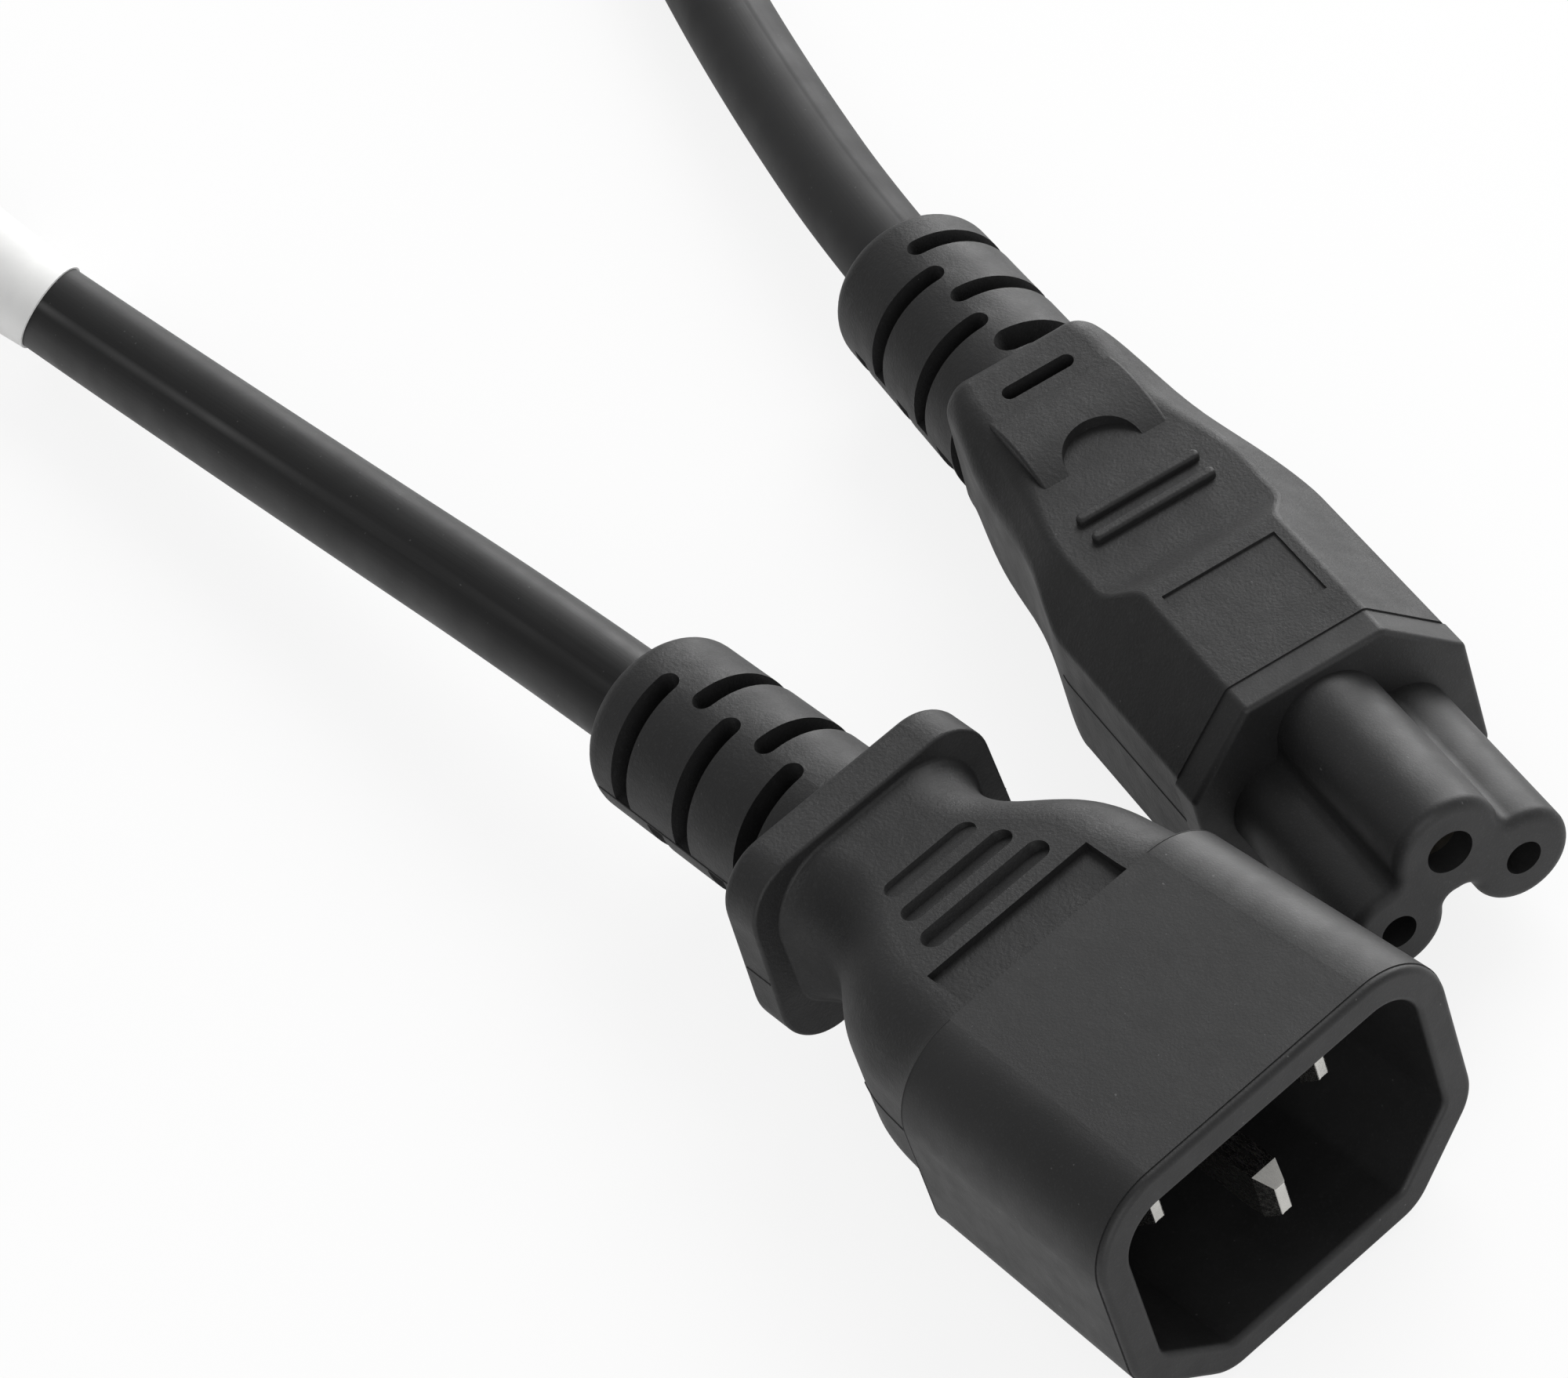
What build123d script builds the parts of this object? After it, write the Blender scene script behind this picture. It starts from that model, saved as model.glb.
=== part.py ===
from build123d import *
import os
from math import cos, pi, radians, sin, tan

# Mains adapter lead: a flat-pin inlet plug, a cloverleaf connector and the round cord that joins them.
# Millimetres, +Z up, lying on the plane Z = 0. The origin is the middle of the plug shroud's flat underside,
# and +X points out of the plug's mating face.

# Plug shroud, the hard shell round the pins
SHROUD_LENGTH = 19.4
SHROUD_WIDTH = 29.0
SHROUD_HEIGHT = 20.9
SHROUD_FOOT_WIDTH = 16.5
SHROUD_SIDE_FOOT = 5.4
SHROUD_TOP_RADIUS = 5.6
SHROUD_DRAFT = 0.5
SHROUD_CORNER_RADIUS = 3.5
SHROUD_FOOT_TRIM = 0.2
SHROUD_WALL = 2.4
CAVITY_DEPTH = 17.0
LIP_LENGTH = 0.55
LIP_STEP = 0.08
LIP_ROUND = 0.45
MOUTH_ROUND = 0.4
HUB_LENGTH = 4.0
HUB_WIDTH = 18.6
HUB_HEIGHT = 12.0
HUB_ROUND = 1.5

# Plug pins, measured from the pin line that the line and neutral blades share
PIN_LINE_HEIGHT = 12.3
PIN_SPACING = 14.0
EARTH_DROP = 4.0
PIN_HEIGHT = 4.0
PIN_THICKNESS = 2.0
PIN_TIP_DEPTH = 4.4
EARTH_TIP_DEPTH = 1.5
PIN_TAPER = 1.3
PIN_TIP_HEIGHT = 2.5
PIN_TIP_THICKNESS = 0.8
PIN_TIP_ROUND = 0.2
PIN_TAIL = 1.5

# Plug grip, flared from the waist to the shroud
GRIP_INSET = 0.25
GRIP_LENGTH = 18.9
WAIST_WIDTH = 15.0
WAIST_TOP = 18.6
WAIST_HEIGHT = 13.4
WAIST_FOOT_WIDTH = 9.4
WAIST_SIDE_FOOT = 3.4
WAIST_TOP_RADIUS = 4.8
WAIST_CORNER_RADIUS = 2.8
# Share of the grip's length, and how much of the narrowing is done there
FLARE = ((0.0, 0.0), (0.26, 0.21), (0.56, 0.58), (0.80, 0.98), (0.91, 0.98), (1.0, 0.83))
FLANGE_TOP_WIDTH = 20.0
FLANGE_FOOT_WIDTH = 21.5
FLANGE_TOP = 19.7
FLANGE_FOOT = 3.8
FLANGE_THICKNESS = 3.6
FLANGE_CORNER = 4.0
FLANGE_ROUND = 0.9
FLANGE_FRONT_ROUND = 0.25
FLANGE_ROOT = 0.25
GROOVE_LENGTHS = (10.5, 9.1, 7.5)
GROOVE_WIDTH = 1.7
GROOVE_DEPTH = 0.7
GROOVE_TILT = 24.0
GROOVE_START = 6.15
GROOVE_PITCH = 2.9
RECESS_WIDTH = 13.6
RECESS_LENGTH = 4.2
RECESS_DEPTH = 0.75

# Strain-relief cuffs
PLUG_AXIS_Z = 11.15
PLUG_CUFF_LENGTH = 21.5
PLUG_CUFF_RADIUS = 6.65
PLUG_CUFF_END_RADIUS = 6.6
CONNECTOR_AXIS_Z = 0.65
CONNECTOR_CUFF_LENGTH = 19.2
CONNECTOR_CUFF_RADIUS = 6.7
CONNECTOR_CUFF_END_RADIUS = 6.45
CUFF_END_ROUND = 1.7
SLOT_WIDTH = 1.7
SLOT_PITCH = 6.65
SLOT_PAST_TOP = 0.55
PLUG_FIRST_SLOT = 3.8
CONNECTOR_FIRST_SLOT = 1.5
CONNECTOR_FIRST_SLOT_WIDTH = 2.5

# Connector, in its own frame: origin on the front plate, on the line through the two small bores
CONNECTOR_X = -16.3
CONNECTOR_Y = 28.0
CONNECTOR_YAW = -12.3
PLATE_WIDTH = 21.4
PLATE_TOP_WIDTH = 10.7
PLATE_TOP = 9.2
PLATE_SHOULDER = 3.8
BORE_LINE_HEIGHT = 6.15
PLATE_FOOT_RADIUS = 1.0
PLATE_EDGE_RADIUS = 0.7
PLATE_THICKNESS = 2.5
PLATE_INSET = 0.12
PLATE_FRONT_ROUND = 0.4
BOSS_LENGTH = 5.0
BOSS_WIDTH = 16.0
BOSS_HEIGHT = 10.4
BOSS_ROUND = 2.0
NOSE_LENGTH = 14.8
NOSE_ROUND = 0.8
BORE_SPACING = 9.5
EARTH_RISE = 4.25
BORE_RADIUS = 1.28
EARTH_BORE_RADIUS = 1.65
TUBE_RADIUS = 3.55
EARTH_TUBE_RADIUS = 3.95
WEB_THICKNESS = 2.8
WEB_ROUND = 1.0
BORE_LIP = 2.0
SLEEVE_WALL = 0.55
SLEEVE_TAIL = 0.8

# Connector grip: plan width, the saddle in its top, the roll, the ribs and the bare panel
BODY_LENGTH = 41.8
BODY_WIDTH = 21.1
BODY_FOOT_RADIUS = 0.5
SIDE_DRAFT = 0.05
BODY_BACK_ROUND = 1.5
SADDLE_FRONT = 13.2
SADDLE_RAMP = 4.6
RAMP_STEPS = 4
SADDLE_TOP = 7.4
SADDLE_BACK = 28.4
BACK_TOP = 8.2
BACK_FACET = 2.0
TAIL_LENGTH = 6.3
# Behind the saddle's ramp: distance from the front plate, width, top height, radii of upper edges and feet
BODY_STATIONS = (
    (SADDLE_FRONT + SADDLE_RAMP, BODY_WIDTH, SADDLE_TOP, PLATE_EDGE_RADIUS, BODY_FOOT_RADIUS),
    (19.8, BODY_WIDTH - 0.4, SADDLE_TOP, 0.8, 0.8),
    (23.0, BODY_WIDTH - 2.1, SADDLE_TOP, 1.0, 2.5),
    (SADDLE_BACK, BODY_WIDTH - 4.2, SADDLE_TOP, 1.6, 3.6),
    (BODY_LENGTH - TAIL_LENGTH, BODY_WIDTH - 5.9, 7.8, 2.2, 4.0),
    (BODY_LENGTH, BODY_WIDTH - 8.0, BACK_TOP, 2.3, 4.0),
)
ROLL_LENGTH = 8.0
ROLL_WIDTH = 10.0
ROLL_HEIGHT = 1.05
ROLL_BACK_RISE = 0.4
ROLL_EDGE = 0.25
ROLL_NOTCH_RADIUS = 2.95
BACK_SLOT_INSET = 4.0
BACK_SLOT_LENGTH = 5.7
BACK_SLOT_WIDTH = 1.25
BACK_SLOT_DEPTH = 1.6
RIB_PLACES = (21.7, 23.9)
RIB_LENGTH = 9.7
RIB_WIDTH = 0.9
RIB_HEIGHT = 0.6
PANEL_PLACE = 9.1
PANEL_LENGTH = 6.8
PANEL_WIDTH = 8.8
PANEL_DEPTH = 0.2

# Cores: copper strands, insulation and crimp barrels
STRAND_RADIUS = 0.65
INSULATION_RADIUS = 1.15
BARREL_RADIUS = 1.65
BARREL_LENGTH = 4.6
BARREL_WALL_END = 0.6
CORE_CIRCLE = 1.55
CORE_STRAIGHT = 2.0
CORE_BEND = 4.0

# Cord and its label
CORD_RADIUS = 3.6
PLUG_CORD_START = 2.2
PLUG_LEAD_OUT = 7.5
CONNECTOR_CORD_ENTRY = 1.0
CONNECTOR_LEAD_OUT = 4.0
EXIT_STRAIGHT = 0.4
LABEL_START = 80.6
LABEL_LENGTH = 14.0
LABEL_WALL = 0.2
LABEL_CLEARANCE = 0.1
LABEL_FLARE = 0.6
# The cord's free route from the plug to the connector, chosen by hand
ROUTE = (
    (-97.0, 0.0, 7.7),
    (-138.0, -0.2, 4.8),
    (-166.0, -0.5, 4.6),
    (-190.0, -1.4, 3.9),
    (-208.5, 8.0, 3.65),
    (-220.1, 25.2, 3.65),
    (-221.8, 45.8, 3.65),
    (-213.1, 64.7, 3.65),
    (-196.4, 76.9, 3.65),
    (-175.8, 79.3, 3.65),
    (-150.0, 68.6, 3.65),
    (-125.0, 58.0, 4.0),
    (-104.0, 49.9, 5.1),
)

# Places worked out from the sizes above
RIM_X = SHROUD_LENGTH / 2
GRIP_FRONT_X = -SHROUD_LENGTH / 2
FLANGE_FRONT_X = GRIP_FRONT_X - GRIP_LENGTH
FLANGE_BACK_X = FLANGE_FRONT_X - FLANGE_THICKNESS
PLUG_CUFF_END_X = FLANGE_BACK_X - PLUG_CUFF_LENGTH
CONNECTOR_CUFF_END_X = -BODY_LENGTH - CONNECTOR_CUFF_LENGTH
CONNECTOR_PLACE = Location((CONNECTOR_X, CONNECTOR_Y, BORE_LINE_HEIGHT), (0, 0, CONNECTOR_YAW))
PLUG_CORD_END_X = FLANGE_BACK_X - PLUG_CORD_START
CONNECTOR_CORD_END_X = -BODY_LENGTH + CONNECTOR_CORD_ENTRY


def six_sided(width, height, foot_width, side_foot, top_radius, corner_radius, bottom=0.0):
    """The plug's outline: flat top with round corners, upright sides, and two slanted lower corners."""
    half, foot = width / 2, foot_width / 2
    points = (
        (-foot, bottom),
        (foot, bottom),
        (half, bottom + side_foot),
        (half, bottom + height),
        (-half, bottom + height),
        (-half, bottom + side_foot),
    )
    radii = [corner_radius] * 3 + [top_radius] * 2 + [corner_radius]
    return FilletPolyline(*points, radius=radii, close=True)


def shroud_sizes(draft=0.0, lift=0.0):
    """Sizes of the shroud's outline, drawn in at the sides and top by a draft."""
    return (
        SHROUD_WIDTH - 2 * draft,
        SHROUD_HEIGHT - draft - lift,
        SHROUD_FOOT_WIDTH - 2 * draft,
        SHROUD_SIDE_FOOT - lift,
        SHROUD_TOP_RADIUS,
        SHROUD_CORNER_RADIUS,
        lift,
    )


def shroud_outline(inset=0.0):
    face = make_face(six_sided(*shroud_sizes()))
    return offset(face, -inset) if inset else face


def pin_place(name):
    """Y and Z of a plug pin's middle."""
    if name == "earth":
        return 0.0, PIN_LINE_HEIGHT - EARTH_DROP
    side = -1 if name == "line" else 1
    return side * PIN_SPACING / 2, PIN_LINE_HEIGHT


def bore_place(name):
    """Y and Z of a connector bore, in the connector's frame."""
    if name == "earth":
        return 0.0, EARTH_RISE
    side = -1 if name == "line" else 1
    return side * BORE_SPACING / 2, 0.0


def core_place(name, axis_z):
    """Y and Z of a core where it leaves the cord's end, three cores on a circle."""
    angle = radians({"line": 210, "neutral": -30, "earth": 90}[name])
    return CORE_CIRCLE * cos(angle), axis_z + CORE_CIRCLE * sin(angle)


def rod(radius, start, end, y=0.0, z=0.0):
    """Round bar along X."""
    return extrude(Plane.YZ.offset(start) * Pos(y, z) * Circle(radius), end - start)


def cuff_body(start, length, radius, end_radius, axis_z):
    """Tapered strain relief, turned about its axis, with a round cable end."""
    profile = Polyline(
        (start, 0),
        (start, radius),
        (start - length, end_radius),
        (start - length, 0),
        close=True,
    )
    face = make_face(profile)
    end_corner = face.vertices().sort_by(Axis.X)[:2].sort_by(Axis.Y)[-1]
    face = fillet(end_corner, CUFF_END_ROUND)
    return Pos(0, 0, axis_z) * revolve(Plane.XZ * face, Axis.X)


def slot_pair(x, width, side, reach, axis_z):
    """Two opposite quarter slots: one above on the given side, the other below across the axis."""
    bar = Rectangle(width, reach, align=(Align.CENTER, Align.MIN))
    plan = Pos(0, width / 2 - SLOT_PAST_TOP) * (bar + Circle(width / 2))
    cutter = extrude(plan, reach)
    if side < 0:
        cutter = mirror(cutter, Plane.XZ)
    return Pos(x, 0, axis_z) * (cutter + Rot(180, 0, 0) * cutter)


def cuff_slots(start, first, first_width, count, first_side, radius, axis_z):
    """Slots that change sides from one to the next, down to the cord."""
    slots = Part()
    for index in range(count):
        side = first_side * (-1) ** index
        width = first_width if index == 0 else SLOT_WIDTH
        x = start - first - index * SLOT_PITCH / 2
        slots += slot_pair(x, width, side, radius + 2, axis_z)
    return slots


def core_path(start_x, start, end_x, end):
    """Core from a crimp barrel to the cord's end: straight, slanted in, and straight again."""
    points = (
        (start_x, *start),
        (start_x - CORE_STRAIGHT, *start),
        (end_x + CORE_STRAIGHT, *end),
        (end_x, *end),
    )
    return FilletPolyline(*points, radius=CORE_BEND)


def core_sweep(path, radius):
    return sweep(Plane(path @ 0, z_dir=path % 0) * Circle(radius), path)


def cores(end_name, places, barrel_x, cord_end_x, axis_z):
    """Copper strands, crimped into their barrels, and the insulation round them up to the cord."""
    nodes = {}
    for name, place in places.items():
        path = core_path(barrel_x, place, cord_end_x, core_place(name, axis_z))
        crimped = rod(STRAND_RADIUS, barrel_x, barrel_x + BARREL_LENGTH - BARREL_WALL_END, *place)
        copper = core_sweep(path, STRAND_RADIUS) + crimped
        nodes[f"{end_name}_{name}_strands"] = copper
        nodes[f"{end_name}_{name}_insulation"] = core_sweep(path, INSULATION_RADIUS) - copper
    return nodes


def barrel(tail_x, place):
    """Crimp barrel behind a pin or contact, open at the back for the strands."""
    outside = rod(BARREL_RADIUS, tail_x, tail_x - BARREL_LENGTH, *place)
    inside = rod(STRAND_RADIUS, tail_x - BARREL_WALL_END, tail_x - BARREL_LENGTH, *place)
    return outside - inside


# Plug shroud and pins
PIN_NAMES = ("line", "neutral", "earth")
HUB_BACK_X = GRIP_FRONT_X - HUB_LENGTH
PIN_BACK_X = HUB_BACK_X - PIN_TAIL


def plug_pin(name):
    depth = EARTH_TIP_DEPTH if name == "earth" else PIN_TIP_DEPTH
    y, z = pin_place(name)
    tip_x = RIM_X - depth
    section = Pos(y, z) * Rectangle(PIN_THICKNESS, PIN_HEIGHT)
    tip = Pos(y, z) * Rectangle(PIN_TIP_THICKNESS, PIN_TIP_HEIGHT)
    blade = extrude(Plane.YZ.offset(PIN_BACK_X) * section, tip_x - PIN_TAPER - PIN_BACK_X)
    blade += loft([Plane.YZ.offset(tip_x - PIN_TAPER) * section, Plane.YZ.offset(tip_x) * tip], ruled=True)
    blade = fillet(blade.faces().sort_by(Axis.X)[-1].edges(), PIN_TIP_ROUND)
    return blade + barrel(PIN_BACK_X, (y, z))


def plug_shroud():
    back_face = make_face(six_sided(*shroud_sizes(SHROUD_DRAFT, -SHROUD_FOOT_TRIM)))
    front_face = make_face(six_sided(*shroud_sizes(0.0, -SHROUD_FOOT_TRIM)))
    shell = loft(
        [Plane.YZ.offset(GRIP_FRONT_X) * back_face, Plane.YZ.offset(RIM_X - LIP_LENGTH) * front_face],
        ruled=True,
    )
    shell = split(shell, Plane.XY, keep=Keep.TOP)
    lip = extrude(Plane.YZ.offset(RIM_X - LIP_LENGTH) * shroud_outline(LIP_STEP), LIP_LENGTH)
    lip = fillet(lip.faces().sort_by(Axis.X)[-1].edges(), LIP_ROUND)
    hub_face = Pos(0, PIN_LINE_HEIGHT - EARTH_DROP / 2) * RectangleRounded(HUB_WIDTH, HUB_HEIGHT, HUB_ROUND)
    hub = extrude(Plane.YZ.offset(HUB_BACK_X) * hub_face, HUB_LENGTH)
    cavity = extrude(Plane.YZ.offset(RIM_X - CAVITY_DEPTH) * shroud_outline(SHROUD_WALL), CAVITY_DEPTH)
    shroud = shell + lip + hub - cavity
    rim = shroud.faces().sort_by(Axis.X)[-1]
    return fillet(rim.inner_wires()[0].edges(), MOUTH_ROUND)


def waist_and_flare():
    """Grip lofted through outlines that narrow from the shroud to the waist."""
    sections = []
    first = shroud_sizes(SHROUD_DRAFT + GRIP_INSET, GRIP_INSET)
    last = (
        WAIST_WIDTH,
        WAIST_HEIGHT,
        WAIST_FOOT_WIDTH,
        WAIST_SIDE_FOOT,
        WAIST_TOP_RADIUS,
        WAIST_CORNER_RADIUS,
        WAIST_TOP - WAIST_HEIGHT,
    )
    for share, narrowing in FLARE:
        sizes = [a + (b - a) * narrowing for a, b in zip(first, last)]
        plane = Plane.YZ.offset(GRIP_FRONT_X - share * GRIP_LENGTH)
        sections.append(plane * make_face(six_sided(*sizes)))
    return loft(sections)


def grip_top(x):
    """Height of the grip's top, which falls evenly from the shroud to the waist."""
    share = (GRIP_FRONT_X - x) / GRIP_LENGTH
    start = SHROUD_HEIGHT - SHROUD_DRAFT - GRIP_INSET
    return start + (WAIST_TOP - start) * share


def plug_grip(inner):
    body = waist_and_flare()
    flange_face = make_face(
        FilletPolyline(
            (-FLANGE_FOOT_WIDTH / 2, FLANGE_FOOT),
            (FLANGE_FOOT_WIDTH / 2, FLANGE_FOOT),
            (FLANGE_TOP_WIDTH / 2, FLANGE_TOP),
            (-FLANGE_TOP_WIDTH / 2, FLANGE_TOP),
            radius=FLANGE_CORNER,
            close=True,
        )
    )
    flange = extrude(Plane.YZ.offset(FLANGE_BACK_X) * flange_face, FLANGE_THICKNESS)
    flange = fillet(flange.faces().sort_by(Axis.X)[0].edges(), FLANGE_ROUND)
    flange = fillet(flange.faces().sort_by(Axis.X)[-1].edges(), FLANGE_FRONT_ROUND)
    cuff = cuff_body(FLANGE_BACK_X, PLUG_CUFF_LENGTH, PLUG_CUFF_RADIUS, PLUG_CUFF_END_RADIUS, PLUG_AXIS_Z)
    slots = cuff_slots(
        FLANGE_BACK_X, PLUG_FIRST_SLOT, SLOT_WIDTH, 5, -1, PLUG_CUFF_RADIUS, PLUG_AXIS_Z
    )
    grip = body + flange
    upright = grip.faces().filter_by(Axis.X)
    flange_front = upright.sort_by(lambda face: abs(face.center().X - FLANGE_FRONT_X))[0]
    root = flange_front.inner_wires()[0].edges()
    grip = fillet(root, FLANGE_ROOT)
    grip += cuff
    for index, length in enumerate(GROOVE_LENGTHS):
        x = GRIP_FRONT_X - GROOVE_START - index * GROOVE_PITCH
        plan = Rot(0, 0, 90) * SlotOverall(length, GROOVE_WIDTH)
        floor = Pos(x, 0, grip_top(x) - GROOVE_DEPTH / 2) * Rot(0, -GROOVE_TILT, 0)
        grip -= floor * extrude(plan, SHROUD_HEIGHT)
    recess_x = GRIP_FRONT_X - RECESS_LENGTH / 2
    recess = Pos(recess_x, 0, grip_top(recess_x) - RECESS_DEPTH) * Box(
        RECESS_LENGTH, RECESS_WIDTH, SHROUD_HEIGHT, align=(Align.CENTER, Align.CENTER, Align.MIN)
    )
    grip -= recess
    grip -= slots
    for piece in inner:
        grip -= piece
    return grip


# Connector insert and contacts, in the connector's frame
def shouldered(width, top, edge_radius, foot_radius, draft=0.0):
    """Connector outline: round foot, drafted sides, shoulders that stay in their own planes, flat top."""
    half = width / 2
    slope = (PLATE_TOP - PLATE_SHOULDER) / ((PLATE_WIDTH - PLATE_TOP_WIDTH) / 2)
    meeting = (PLATE_SHOULDER + slope * (PLATE_WIDTH / 2 - half)) / (1 - slope * draft)
    shoulder = min(meeting, top - BACK_FACET)
    foot_half = half + draft * BORE_LINE_HEIGHT
    shoulder_half = half - draft * shoulder
    top_half = shoulder_half - (top - shoulder) / slope
    points = (
        (-foot_half, -BORE_LINE_HEIGHT),
        (foot_half, -BORE_LINE_HEIGHT),
        (shoulder_half, shoulder),
        (top_half, top),
        (-top_half, top),
        (-shoulder_half, shoulder),
    )
    radii = [foot_radius] * 2 + [edge_radius] * 4
    return make_face(FilletPolyline(*points, radius=radii, close=True))


def nose():
    """Three tubes joined by webs, with softened front rims."""
    outline = Sketch()
    for name in PIN_NAMES:
        radius = EARTH_TUBE_RADIUS if name == "earth" else TUBE_RADIUS
        outline += Pos(*bore_place(name)) * Circle(radius)
    for name in ("line", "neutral"):
        y, z = bore_place(name)
        web = Polyline((0, EARTH_RISE), (y, z))
        outline += make_face(offset(web, WEB_THICKNESS / 2))
    outline = offset(offset(outline, WEB_ROUND), -WEB_ROUND)
    front = extrude(Plane.YZ * outline, NOSE_LENGTH)
    return fillet(front.faces().sort_by(Axis.X)[-1].edges(), NOSE_ROUND)


def bore_radius(name):
    return EARTH_BORE_RADIUS if name == "earth" else BORE_RADIUS


FRONT_SIZES = (PLATE_WIDTH, PLATE_TOP, PLATE_EDGE_RADIUS, PLATE_FOOT_RADIUS)
CONTACT_FRONT_X = NOSE_LENGTH - BORE_LIP
BOSS_BACK_X = -PLATE_THICKNESS - BOSS_LENGTH
CONTACT_BACK_X = BOSS_BACK_X - SLEEVE_TAIL


def connector_insert():
    plate_face = offset(shouldered(*FRONT_SIZES), -PLATE_INSET)
    plate = extrude(Plane.YZ.offset(-PLATE_THICKNESS) * plate_face, PLATE_THICKNESS)
    plate = fillet(plate.faces().sort_by(Axis.X)[-1].edges(), PLATE_FRONT_ROUND)
    boss_middle = EARTH_RISE / 2 - 0.4
    boss_face = Pos(0, boss_middle) * RectangleRounded(BOSS_WIDTH, BOSS_HEIGHT, BOSS_ROUND)
    boss = extrude(Plane.YZ.offset(BOSS_BACK_X) * boss_face, BOSS_LENGTH)
    insert = plate + nose() + boss
    for name in PIN_NAMES:
        radius = bore_radius(name)
        insert -= rod(radius, CONTACT_FRONT_X - 1, NOSE_LENGTH + 1, *bore_place(name))
        insert -= rod(radius + SLEEVE_WALL, BOSS_BACK_X - 1, CONTACT_FRONT_X, *bore_place(name))
    return insert


def connector_contact(name):
    radius, place = bore_radius(name), bore_place(name)
    outside = rod(radius + SLEEVE_WALL, CONTACT_BACK_X, CONTACT_FRONT_X, *place)
    inside = rod(radius, BOSS_BACK_X, CONTACT_FRONT_X, *place)
    return outside - inside + barrel(CONTACT_BACK_X, place)


# Connector grip, in the connector's frame
def body_section(distance, *sizes):
    return Plane.YZ.offset(-distance) * shouldered(*sizes, SIDE_DRAFT)


def ramp_section(share):
    """Section on the soft ramp down to the saddle."""
    top = PLATE_TOP + (SADDLE_TOP - PLATE_TOP) * (1 - cos(pi * share)) / 2
    distance = SADDLE_FRONT + SADDLE_RAMP * share
    return body_section(distance, BODY_WIDTH, top, PLATE_EDGE_RADIUS, BODY_FOOT_RADIUS)


def body_block():
    """Level front, a soft ramp, then a smooth loft back to the round end."""
    level = body_section(PLATE_THICKNESS, BODY_WIDTH, PLATE_TOP, PLATE_EDGE_RADIUS, BODY_FOOT_RADIUS)
    front = extrude(level, SADDLE_FRONT - PLATE_THICKNESS, dir=(-1, 0, 0))
    ramp = loft([ramp_section(step / RAMP_STEPS) for step in range(RAMP_STEPS + 1)])
    back = loft([body_section(*station) for station in BODY_STATIONS])
    body = front + ramp + back
    return fillet(body.faces().sort_by(Axis.X)[0].edges(), BODY_BACK_ROUND)


def roll():
    """Roll raised across the grip, falling to the saddle, with a half-moon notch for a fingertip."""
    front = (-SADDLE_BACK, SADDLE_TOP)
    back = (-SADDLE_BACK - ROLL_LENGTH, SADDLE_TOP + ROLL_BACK_RISE)
    crest = (-SADDLE_BACK - ROLL_LENGTH / 2, SADDLE_TOP + ROLL_HEIGHT)
    under = SADDLE_TOP - ROLL_HEIGHT
    top = ThreePointArc(front, crest, back)
    base = Polyline(back, (back[0], under), (front[0], under), front)
    bar = extrude(Plane.XZ * make_face(top.edges() + base.edges()), ROLL_WIDTH / 2, both=True)
    bar = fillet(bar.edges().filter_by(GeomType.CIRCLE), ROLL_EDGE)
    notch = Pos(-SADDLE_BACK, 0, under) * Cylinder(
        ROLL_NOTCH_RADIUS, PLATE_TOP, align=(Align.CENTER, Align.CENTER, Align.MIN)
    )
    return bar - notch


def ribs():
    bars = Part()
    for place in RIB_PLACES:
        plan = Rot(0, 0, 90) * SlotOverall(RIB_LENGTH, RIB_WIDTH)
        bar = extrude(Pos(-place, 0, SADDLE_TOP - RIB_HEIGHT) * plan, 2 * RIB_HEIGHT)
        bars += fillet(bar.faces().sort_by(Axis.Z)[-1].edges(), RIB_WIDTH * 0.3)
    return bars


def connector_grip(inner):
    body = body_block()
    cuff = cuff_body(
        -BODY_LENGTH,
        CONNECTOR_CUFF_LENGTH,
        CONNECTOR_CUFF_RADIUS,
        CONNECTOR_CUFF_END_RADIUS,
        CONNECTOR_AXIS_Z,
    )
    slots = cuff_slots(
        -BODY_LENGTH,
        CONNECTOR_FIRST_SLOT,
        CONNECTOR_FIRST_SLOT_WIDTH,
        5,
        1,
        CONNECTOR_CUFF_RADIUS,
        CONNECTOR_AXIS_Z,
    )
    grip = body + roll() + ribs() + (cuff - slots)
    slot_plan = Rot(0, 0, 90) * SlotOverall(BACK_SLOT_LENGTH, BACK_SLOT_WIDTH)
    grip -= extrude(Pos(BACK_SLOT_INSET - BODY_LENGTH, 0, BACK_TOP - BACK_SLOT_DEPTH) * slot_plan, PLATE_TOP)
    grip -= Pos(-PANEL_PLACE, 0, PLATE_TOP) * Box(PANEL_LENGTH, PANEL_WIDTH, 2 * PANEL_DEPTH)
    for piece in inner:
        grip -= piece
    return grip


# Cord and label
def corner_radii(points, rooms):
    """Each arc takes 0.45 of the shorter run at its corner, or the room there is outside a cuff."""
    vectors = [Vector(*point) for point in points]
    radii = []
    for before, corner, after in zip(vectors, vectors[1:], vectors[2:]):
        turn = (corner - before).get_angle(after - corner)
        reach = 0.45 * min((corner - before).length, (after - corner).length)
        reach = min(reach, rooms.get(tuple(corner), reach))
        radii.append(reach / tan(radians(turn) / 2))
    return radii


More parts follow.
